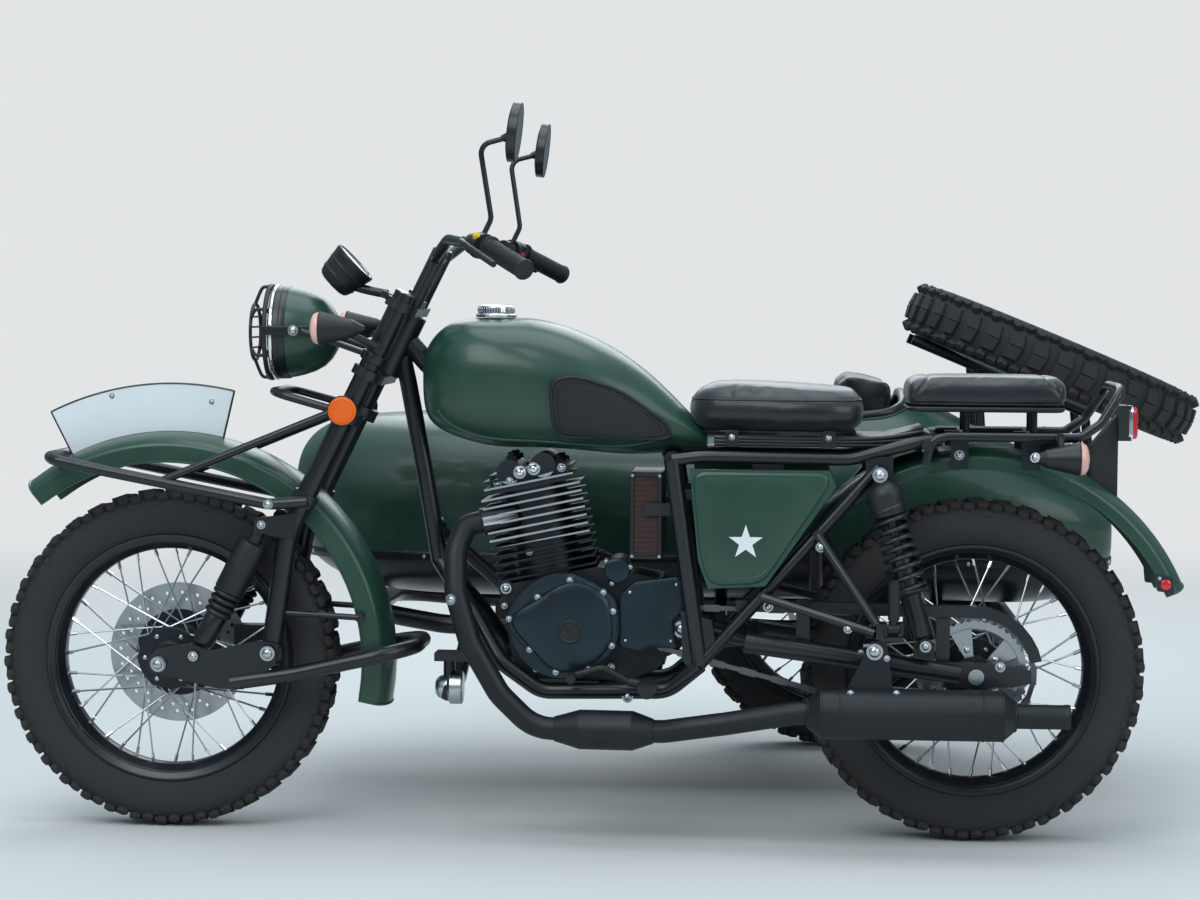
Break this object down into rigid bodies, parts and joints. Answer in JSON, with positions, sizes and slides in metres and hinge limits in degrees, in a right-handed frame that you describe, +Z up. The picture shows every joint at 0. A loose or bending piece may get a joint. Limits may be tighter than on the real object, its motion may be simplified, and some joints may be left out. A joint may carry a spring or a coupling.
{
  "type": "sidecar motorcycle",
  "caption": "Motorcycle with a leading-link fork, a hollow one-seat sidecar on its right, wire wheels with blocked tyres, folding passenger pegs and a spare wheel.",
  "frame": {"origin": "on the ground plane, directly under the rear axle, in the motorcycle's middle plane", "axes": "+X forward, +Y to the rider's left, +Z up; the sidecar is on the -Y side"},
  "size_m": [2.4462, 1.6931, 1.4115],
  "materials": {
    "black_paint": "satin black paint",
    "green_paint": "satin olive green paint",
    "engine_black": "satin black cast alloy",
    "exhaust_black": "matt heat-proof black",
    "bright_steel": "zinc plated",
    "wheel_metal": "black rim, bright spokes",
    "tyre_rubber": "blocked tread",
    "chrome": "polished",
    "pad_rubber": "matt",
    "seat_leather": "satin black",
    "lamp_plastic": "black shells, coloured lenses",
    "plate_white": "white, blank",
    "mirror_glass": "black shell"
  },
  "bodies": {
    "root": {"main_frame": "black_paint", "swing_arm": "black_paint", "rear_axle": "bright_steel", "rear_shocks": "black_paint", "drive_chain": "bright_steel", "chain_guard": "black_paint", "engine_case": "engine_black", "engine_cylinder": "engine_black", "engine_head": "engine_black", "exhaust": "exhaust_black", "airbox": "black_paint", "fuel_tank": "green_paint", "fuel_cap": "chrome", "knee_pads": "pad_rubber", "side_panels": "green_paint", "rider_seat": "seat_leather", "passenger_seat": "seat_leather", "tail_tray": "black_paint", "rear_fender": "green_paint", "rear_rack": "black_paint", "rear_lamps": "lamp_plastic", "foot_controls": "black_paint", "peg_brackets": "black_paint", "sidecar_tub": "green_paint", "sidecar_pan": "black_paint", "sidecar_frame": "black_paint", "sidecar_seat": "seat_leather", "sidecar_fender": "green_paint", "sidecar_arm": "black_paint", "sidecar_shock": "black_paint", "spare_carrier": "black_paint", "spare_wheel": "wheel_metal", "spare_tyre": "tyre_rubber"},
    "fork": {"fork_frame": "black_paint", "fork_link": "black_paint", "front_axle": "bright_steel", "front_shocks": "black_paint", "fork_guard": "black_paint", "front_fender": "green_paint", "number_plate": "plate_white", "headlamp": "green_paint", "instrument": "black_paint", "handlebar": "black_paint", "hand_controls": "black_paint", "mirrors": "mirror_glass", "front_indicators": "lamp_plastic"},
    "front_roller": {"front_wheel": "wheel_metal", "front_tyre": "tyre_rubber"},
    "rear_roller": {"rear_wheel": "wheel_metal", "rear_tyre": "tyre_rubber"},
    "sidecar_roller": {"sidecar_wheel": "wheel_metal", "sidecar_tyre": "tyre_rubber"},
    "peg_left": {"passenger_peg_left": "black_paint"},
    "peg_right": {"passenger_peg_right": "black_paint"}
  },
  "joints": [
    {"name": "steering", "type": "hinge", "parent": "root", "child": "fork", "pos_m": [1.12804, 0, 0.95946], "axis": [-0.4384, 0, 0.8988], "range_deg": [-32, 32]},
    {"name": "front_wheel_spin", "type": "hinge", "parent": "fork", "child": "front_roller", "pos_m": [1.577, 0, 0.335], "axis": [0, 1, 0], "continuous": true},
    {"name": "rear_wheel_spin", "type": "hinge", "parent": "root", "child": "rear_roller", "pos_m": [0, 0, 0.335], "axis": [0, 1, 0], "continuous": true},
    {"name": "sidecar_wheel_spin", "type": "hinge", "parent": "root", "child": "sidecar_roller", "pos_m": [0.245, -1.15, 0.335], "axis": [0, 1, 0], "continuous": true},
    {"name": "passenger_peg_left_fold", "type": "hinge", "parent": "root", "child": "peg_left", "pos_m": [0.161, 0.216, 0.433], "axis": [-1, 0, 0], "range_deg": [0, 90]},
    {"name": "passenger_peg_right_fold", "type": "hinge", "parent": "root", "child": "peg_right", "pos_m": [0.161, -0.216, 0.433], "axis": [1, 0, 0], "range_deg": [0, 90]}
  ]
}
